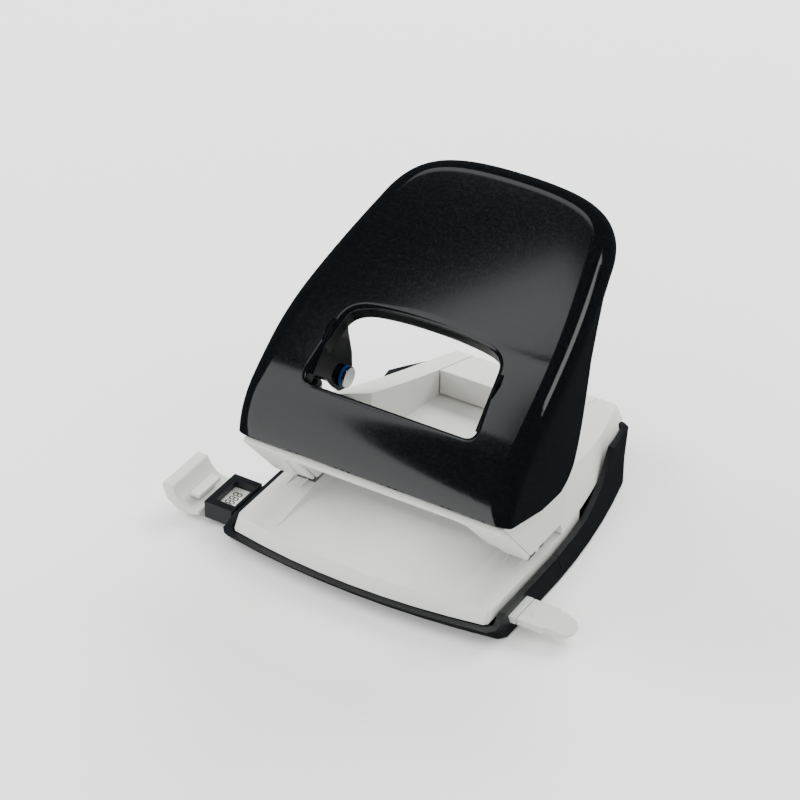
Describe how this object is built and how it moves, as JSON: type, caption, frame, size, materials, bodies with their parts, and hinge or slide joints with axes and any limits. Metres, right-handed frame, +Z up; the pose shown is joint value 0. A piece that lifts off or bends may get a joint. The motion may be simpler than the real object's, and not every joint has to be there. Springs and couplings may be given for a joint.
{
  "type": "hole punch",
  "caption": "Two-hole desk punch: leaning pressed-steel lever with a hand window over a moulded body, spring-returned punches, sliding paper guide and chip tray.",
  "frame": {"origin": "on the table, under the midpoint between the two punches", "axes": "+X to the right seen from the paper side, +Y to the back of the punch, +Z up; the handle and the punches mirror about X = 0"},
  "size_m": [0.1487, 0.1212, 0.1021],
  "materials": {
    "handle_lacquer": "black stove lacquer with a fine flake on pressed steel, glossy",
    "body_plastic": "light warm grey moulded ABS, satin",
    "base_plastic": "black moulded ABS, satin",
    "guide_plastic": "light grey moulded acetal, satin",
    "scale_label": "printed format scale, smooth",
    "steel": "ground and zinc-plated steel",
    "bright_steel": "bright turned steel",
    "rubber": "black non-slip rubber",
    "blue_plastic": "blue moulded acetal, smooth"
  },
  "bodies": {
    "body": {"base_shell": "base_plastic", "guide_window": "base_plastic", "tray_hinge_pin_left": "steel", "tray_hinge_pin_right": "steel", "rubber_strip_front": "rubber", "steel_frame_left": "steel", "steel_frame_right": "steel", "deck": "body_plastic", "body_cover": "body_plastic", "jaw_left": "body_plastic", "jaw_right": "body_plastic", "rear_lid": "body_plastic", "nose_cover": "body_plastic", "die_plate_left": "steel", "die_plate_right": "steel", "punch_guide_left": "steel", "punch_guide_right": "steel", "punch_spring_left": "steel", "punch_spring_right": "steel", "pivot_axle_left": "steel", "pivot_axle_right": "steel"},
    "tray": {"chip_tray": "base_plastic", "rubber_strip_middle": "rubber", "rubber_strip_rear": "rubber"},
    "handle": {"handle_shell": "handle_lacquer", "pivot_bracket_left": "steel", "pivot_bracket_right": "steel", "drive_pin_left": "bright_steel", "drive_pin_right": "bright_steel", "drive_pin_collar_left": "blue_plastic", "drive_pin_collar_right": "blue_plastic"},
    "left_punch": {"punch_left": "steel", "punch_cap_left": "steel"},
    "right_punch": {"punch_right": "steel", "punch_cap_right": "steel"},
    "guide": {"guide_bar": "guide_plastic", "guide_tongue": "guide_plastic", "guide_stop": "guide_plastic", "stop_block": "guide_plastic", "scale_strip": "scale_label"}
  },
  "joints": [
    {"name": "handle_hinge", "type": "hinge", "parent": "body", "child": "handle", "pos_m": [0, -0.019, 0.044], "axis": [-1, 0, 0], "range_deg": [0, 22], "stiffness_Nm_per_rad": 2, "springref_deg": -17.19},
    {"name": "left_punch_slide", "type": "slide", "parent": "body", "child": "left_punch", "axis": [0, 0, -1], "range_m": [0, 0.0088], "deforming": ["punch_spring_left"]},
    {"name": "right_punch_slide", "type": "slide", "parent": "body", "child": "right_punch", "axis": [0, 0, -1], "range_m": [0, 0.0088], "deforming": ["punch_spring_right"]},
    {"name": "guide_slide", "type": "slide", "parent": "body", "child": "guide", "axis": [-1, 0, 0], "range_m": [0, 0.0965]},
    {"name": "tray_hinge", "type": "hinge", "parent": "body", "child": "tray", "pos_m": [0, -0.01, 0.0032], "axis": [-1, 0, 0], "range_deg": [0, 50]}
  ],
  "couplings": [
    {"joint": "left_punch_slide", "follows": "handle_hinge", "m_per_rad": 0.0229},
    {"joint": "right_punch_slide", "follows": "handle_hinge", "m_per_rad": 0.0229}
  ]
}
